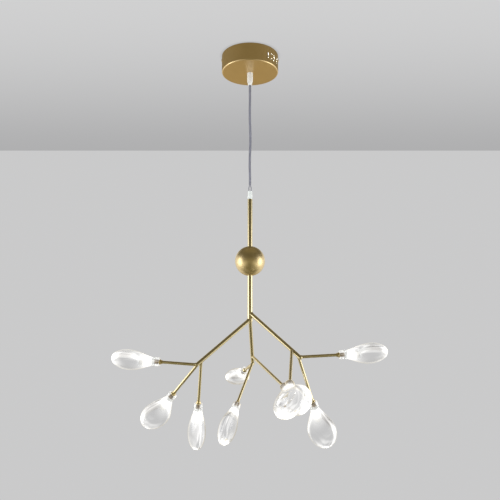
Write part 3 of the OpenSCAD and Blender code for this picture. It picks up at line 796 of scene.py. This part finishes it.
HOLDER_R = 4.5 * MM
LAMP_FOOT = 15 * MM
SLEEVE_R = 6.1 * MM
silicone, tree, surface = node_material("clear_silicone", (0.92, 0.94, 0.95), rough=0.3)
surface.inputs["Transmission Weight"].default_value = 0.85
surface.inputs["IOR"].default_value = 1.41
place = add_node(tree, "ShaderNodeTexCoord").outputs["Object"]
cloud = texture(tree, "ShaderNodeTexNoise", place, Scale=300.0, Detail=2.0)
hazed(tree, surface, cloud.outputs["Fac"], 0.2, 0.4)
for name in twigs:
    profile = [(0, NIPPLE_L), (HOLDER_R - 0.3 * MM, NIPPLE_L), (HOLDER_R, NIPPLE_L + 0.3 * MM),
        (HOLDER_R, LAMP_FOOT - 0.3 * MM), (HOLDER_R - 0.3 * MM, LAMP_FOOT), (0, LAMP_FOOT)]
    bm = keep_place(spun(profile, 32))
    holder = new_piece("holder_" + name, bm, "pendant", white_ceramic, mouth_seat(name))
    low, high = NIPPLE_L + 0.5 * MM, LAMP_FOOT - 0.5 * MM
    profile = [(HOLDER_R + 0.02 * MM, low), (SLEEVE_R - 0.2 * MM, low), (SLEEVE_R, low + 0.2 * MM),
        (SLEEVE_R, high - 0.2 * MM), (SLEEVE_R - 0.2 * MM, high), (HOLDER_R + 0.02 * MM, high)]
    bm = keep_place(spun(profile, 32))
    sleeve = new_piece("sleeve_" + name, bm, "pendant", silicone, mouth_seat(name))
    if name == "left_outer":
        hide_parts("lamp_holders")
        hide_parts("grip_sleeves")

# Lamps: two-pin capsules that are lit, each with a short base and a domed clear bulb filled by
# its light.

BASE_R = 4.2 * MM
LAMP_R = 4.7 * MM
LAMP_L = 25 * MM


def glowing(tree, surface, light, middle, reach):
    """A lamp's light in its glass: it fades from the middle, a height in mm, over the reach."""
    apart = add_node(tree, "ShaderNodeVectorMath", operation="SUBTRACT")
    apart.inputs[1].default_value = (0, 0, middle * MM)
    share = add_node(tree, "ShaderNodeVectorMath", operation="DIVIDE")
    share.inputs[1].default_value = [r * MM for r in reach]
    far = add_node(tree, "ShaderNodeVectorMath", operation="LENGTH")
    tree.links.new(along(tree), apart.inputs[0])
    tree.links.new(apart.outputs[0], share.inputs[0])
    tree.links.new(share.outputs[0], far.inputs[0])
    fade = ranged(tree, far.outputs["Value"], (0.0, 1.0), (light, 0.0))
    tree.links.new(fade, surface.inputs["Emission Strength"])
    surface.inputs["Emission Color"].default_value = (1.0, 0.985, 0.95, 1)
    return fade


lit_capsule, tree, surface = node_material("lit_capsule", (1.0, 0.95, 0.84), rough=0.3)
surface.inputs["Transmission Weight"].default_value = 1.0
surface.inputs["IOR"].default_value = 1.04
glowing(tree, surface, 0.8, 18, (30, 30, 17))
chips = texture(tree, "ShaderNodeTexNoise", along(tree), Scale=500.0, Detail=1.0)
tinted(tree, surface, chips.outputs["Fac"], (1.0, 0.97, 0.92), (1.0, 0.99, 0.97))
for name in twigs:
    profile = [(0, LAMP_FOOT), (BASE_R, LAMP_FOOT), (BASE_R, LAMP_FOOT + 2.8 * MM),
        (LAMP_R, LAMP_FOOT + 3.2 * MM)]
    profile += rounded((0, LAMP_FOOT + LAMP_L - LAMP_R), LAMP_R, 0, 90, 10)
    bm = keep_place(spun(profile, 32))
    lamp = new_piece("capsule_" + name, bm, "pendant", lit_capsule, mouth_seat(name))
    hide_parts("lamp_" + name)

# Glasses: solid cast drops of clear glass, round at the neck and flattened towards the tip. A
# blind bore with a satin wall takes the lamp, and the outside is fire polished.

GLASS_L = 93 * MM
HALF_W = 27.5 * MM
HALF_T = 17 * MM
PEAK = 59 * MM
NECK_R = 8.1 * MM
NECK_L = 14 * MM
BORE_R = 6.2 * MM
NEAR_RINGS = 24
GLASS_SIDES = 64
BORE_L = LAMP_FOOT + LAMP_L - BORE_R + 3.2 * MM


def swell(z, half):
    """The half width of the glass at a height: half at its peak, and round at the neck."""
    if z <= NECK_L:
        return NECK_R
    if z < PEAK:
        return NECK_R + (half - NECK_R) * sin(pi / 2 * ((z - NECK_L) / (PEAK - NECK_L)) ** 1.15)
    return half * sqrt(max(0, 1 - ((z - PEAK) / (GLASS_L - PEAK)) ** 2))


def drawn_rings(rings, sides):
    """A closed skin drawn out ring by ring. Each ring is (height, half width, half thickness)."""
    bm = bmesh.new()
    along = bm.verts.layers.float_vector.new("along")
    ring = bmesh.ops.create_circle(bm, segments=sides, radius=1)["verts"]
    shape = [v.co.copy() for v in ring]
    for i, (z, wide, thick) in enumerate(rings):
        if i:
            edges = [e for e in bm.edges if e.verts[0] in ring and e.verts[1] in ring]
            made = bmesh.ops.extrude_edge_only(bm, edges=edges)["geom"]
            drawn = [v for v in made if isinstance(v, bmesh.types.BMVert)]
            ring = [min(drawn, key=lambda w: (w.co - v.co).length) for v in ring]
        for v, s in zip(ring, shape):
            v.co = (s.x * wide, s.y * thick, z)
            v[along] = v.co.copy()
    bmesh.ops.holes_fill(bm, edges=[e for e in bm.edges if e.is_boundary])
    bmesh.ops.recalc_face_normals(bm, faces=bm.faces)
    return bm


glass, tree, surface = node_material("clear_glass", (0.97, 0.97, 0.975), rough=0.02)
surface.inputs["Transmission Weight"].default_value = 1.0
surface.inputs["IOR"].default_value = 1.5
fade = glowing(tree, surface, 0.34, 24, (24, 40, 36))
place = along(tree)
waves = texture(tree, "ShaderNodeTexNoise", place, Scale=55.0, Detail=1.0)
rippled(tree, surface, waves.outputs["Fac"], 0.08, 0.0008)

# Light caught in long streaks by the narrow sides and the tip
drawn = add_node(tree, "ShaderNodeVectorMath", operation="MULTIPLY")
drawn.inputs[1].default_value = (60, 220, 14)
tree.links.new(place, drawn.inputs[0])
streaks = texture(tree, "ShaderNodeTexNoise", drawn.outputs[0], Scale=1.0, Detail=1.0)
caught = ranged(tree, streaks.outputs["Fac"], (0.44, 0.60), (0.0, 0.27))
flat = add_node(tree, "ShaderNodeVectorMath", operation="MULTIPLY")
flat.inputs[1].default_value = (1, 1, 0)
facing = add_node(tree, "ShaderNodeVectorMath", operation="NORMALIZE")
size = add_node(tree, "ShaderNodeVectorMath", operation="ABSOLUTE")
sideways = add_node(tree, "ShaderNodeSeparateXYZ")
height = add_node(tree, "ShaderNodeSeparateXYZ")
tree.links.new(place, flat.inputs[0])
tree.links.new(flat.outputs[0], facing.inputs[0])
tree.links.new(facing.outputs[0], size.inputs[0])
tree.links.new(size.outputs[0], sideways.inputs[0])
tree.links.new(place, height.inputs[0])
either = add_node(tree, "ShaderNodeMath", operation="MAXIMUM")
lit = add_node(tree, "ShaderNodeMath", operation="MULTIPLY_ADD")
tree.links.new(ranged(tree, sideways.outputs["X"], (0.87, 0.98)), either.inputs[0])
tree.links.new(ranged(tree, height.outputs["Z"], (66 * MM, 84 * MM)), either.inputs[1])
tree.links.new(caught, lit.inputs[0])
tree.links.new(either.outputs[0], lit.inputs[1])
tree.links.new(fade, lit.inputs[2])
tree.links.new(lit.outputs[0], surface.inputs["Emission Strength"])

satin_bore, tree, surface = node_material("satin_bore", (0.97, 0.98, 0.98), rough=0.45)
surface.inputs["Transmission Weight"].default_value = 1.0
surface.inputs["IOR"].default_value = 1.04
glowing(tree, surface, 0.3, 20, (30, 30, 19))
etch = texture(tree, "ShaderNodeTexNoise", along(tree), Scale=900.0, Detail=2.0)
hazed(tree, surface, etch.outputs["Fac"], 0.35, 0.55)

bore = [(BORE_L + BORE_R * sin(radians(a)), BORE_R * cos(radians(a)), BORE_R * cos(radians(a)))
    for a in (88, 75, 60, 45, 30, 15, 0)]
bore += [(z * MM, BORE_R, BORE_R) for z in (30, 24, 18, 14, 10, 5, 0.4)]
lip = [(0, BORE_R + 0.4 * MM, BORE_R + 0.4 * MM), (0, NECK_R - 0.8 * MM, NECK_R - 0.8 * MM),
    (0.25 * MM, NECK_R - 0.25 * MM, NECK_R - 0.25 * MM), (0.9 * MM, NECK_R, NECK_R)]
near = [NECK_L + (PEAK - NECK_L) * k / NEAR_RINGS for k in range(NEAR_RINGS + 1)]
far = [PEAK + (GLASS_L - PEAK) * sin(radians(a))
    for a in (6, 12, 18, 24, 30, 36, 42, 48, 54, 60, 66, 72, 77, 81, 85, 88, 89.4)]
body = [(z, swell(z, HALF_W), swell(z, HALF_T)) for z in near + far]
for name in twigs:
    bm = drawn_rings(bore + lip + body, GLASS_SIDES)
    for face in bm.faces:
        middle = face.calc_center_median()
        out = sqrt(middle.x ** 2 + middle.y ** 2)
        within = 0.3 * MM < middle.z < BORE_L + BORE_R * 1.02
        face.material_index = int(within and out < BORE_R * 1.01)
    drop = new_piece("drop_" + name, bm, "glass_" + name, glass, mouth_seat(name))
    drop.data.materials.append(satin_bore)
    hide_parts("shade_" + name)
